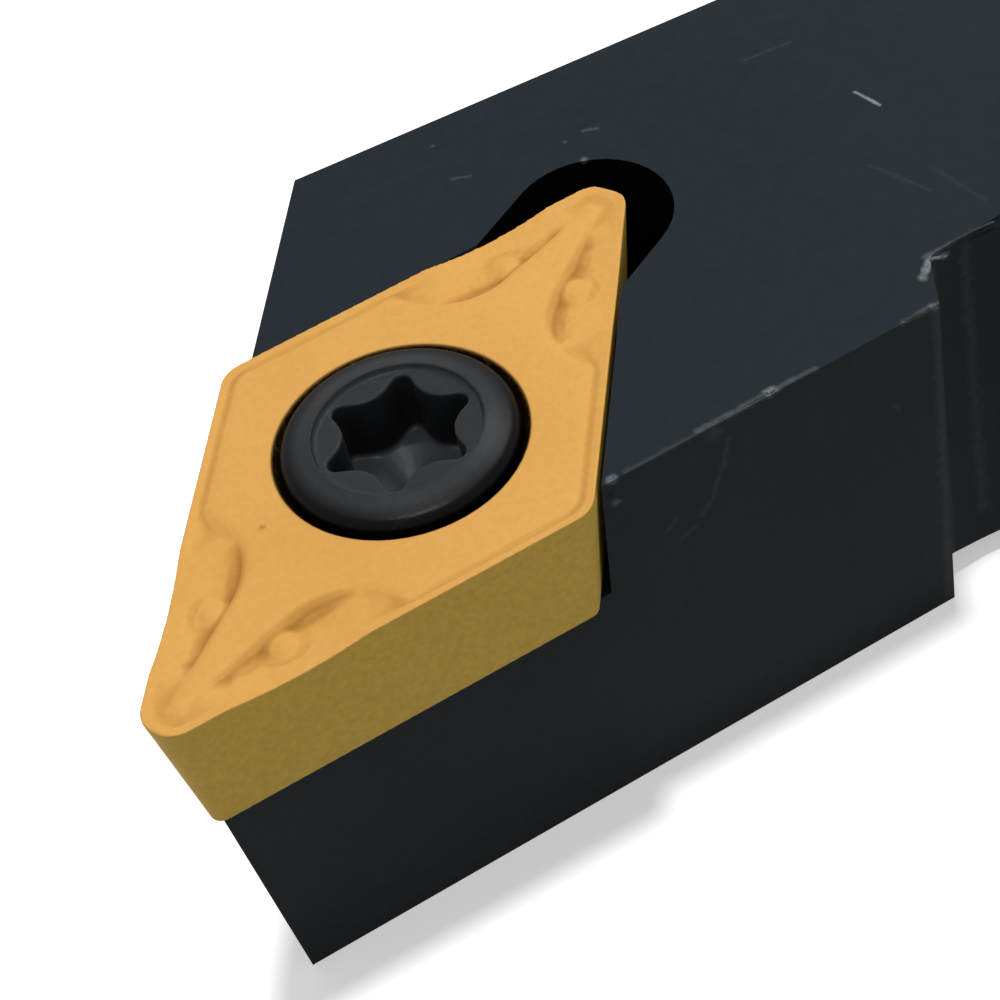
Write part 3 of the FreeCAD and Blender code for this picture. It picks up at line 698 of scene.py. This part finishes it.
# painted shade on the head's rim, growing outwards
shadeAndPitDark = (fromAxis(places) - screwValues["rimFrom"]) / screwValues["rimFade"]
storeMask(screw, "recessShade", numpy.where(places[:, 2] > screwValues["rimLow"], shadeAndPitDark, 0.0))
smoothShading(screw)
screw.data.materials.append(makeBlackSteel(steelValues))
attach(screw, "screw")
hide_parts("clamp_screw")
print("clamp screw:", len(screw.data.polygons), "faces")

# White paper under soft studio light, and the photograph's camera.
studioValues = {
    "floorSize": 4.0,
    "floorTone": 0.98,          # the floor's own tone, over the glow of the white surroundings
    "floorGlow": 0.43,
    "floorBounce": 0.24,        # what the floor throws back at the object
    "floorRough": 0.9,
    "ambient": 0.26,
    "lamps": {                  # place, size and power: one overhead, one beyond the object
        "keyLamp": ((0.012, -0.045, 0.60), 0.045, 1.75),
        "backLamp": ((-0.16, 0.16, 0.32), 0.12, 0.5),
    },
    "lampAim": (0.0, -0.04, 0.0),  # metres, as are the camera's and the lamps' places
    "cameraPlace": (0.04411922, -0.04890152, 0.05223350),
    "cameraTurn": (41.944, 10.288, 66.130),
    "lens": 87.71,
    "sensorWidth": 36,
    "nearest": 0.002,
}


def straightRays(n):  # 1 for what the camera sees, directly or in a reflection
    path = n.add("ShaderNodeLightPath").outputs
    seen = n.math("MAXIMUM", path["Is Camera Ray"], path["Is Glossy Ray"])
    return n.math("MAXIMUM", seen, path["Is Transmission Ray"])


deselectAll()
bpy.ops.mesh.primitive_plane_add(size=studioValues["floorSize"], location=(0, 0, cadBox[0][2]))
floor = bpy.context.object
floor.name = "studioFloor"
bpy.ops.object.transform_apply(location=True)
floorMaterial, n, shader = newMaterial("studioPaper")
direct = straightRays(n)
paper = grey(studioValues["floorTone"])
bounce = grey(studioValues["floorBounce"])
n.put(n.mix(direct, bounce, paper), shader.inputs["Base Color"])
shader.inputs["Emission Color"].default_value = grey(1.0)
n.put(n.math("MULTIPLY", direct, studioValues["floorGlow"]), shader.inputs["Emission Strength"])
shader.inputs["Roughness"].default_value = studioValues["floorRough"]
shader.inputs["Specular IOR Level"].default_value = 0.0
floor.data.materials.append(floorMaterial)

world = bpy.data.worlds.new("studioAir")
scene.world = world
world.use_nodes = True
n = Nodes(world.node_tree)
background = world.node_tree.nodes["Background"]
background.inputs["Color"].default_value = grey(1.0)
n.put(n.ramp(straightRays(n), 0.0, 1.0, studioValues["ambient"], 1.0), background.inputs["Strength"])

deselectAll()
for lampName, (lampPlace, lampSize, lampPower) in studioValues["lamps"].items():
    bpy.ops.object.light_add(type="AREA", location=lampPlace)
    lamp = bpy.context.object
    lamp.name = lampName
    lamp.data.shape = "DISK"
    lamp.data.size = lampSize
    lamp.data.energy = lampPower
    aim = Vector(studioValues["lampAim"]) - Vector(lampPlace)
    lamp.rotation_euler = aim.to_track_quat("-Z", "Y").to_euler()

bpy.ops.object.camera_add(location=studioValues["cameraPlace"],
                          rotation=[math.radians(a) for a in studioValues["cameraTurn"]])
camera = bpy.context.object
camera.name = "photoCamera"
camera.data.lens = studioValues["lens"]
camera.data.sensor_width = studioValues["sensorWidth"]
camera.data.clip_start = studioValues["nearest"]
scene.camera = camera
scene.view_settings.view_transform = "Standard"
print("floor, light and camera placed")
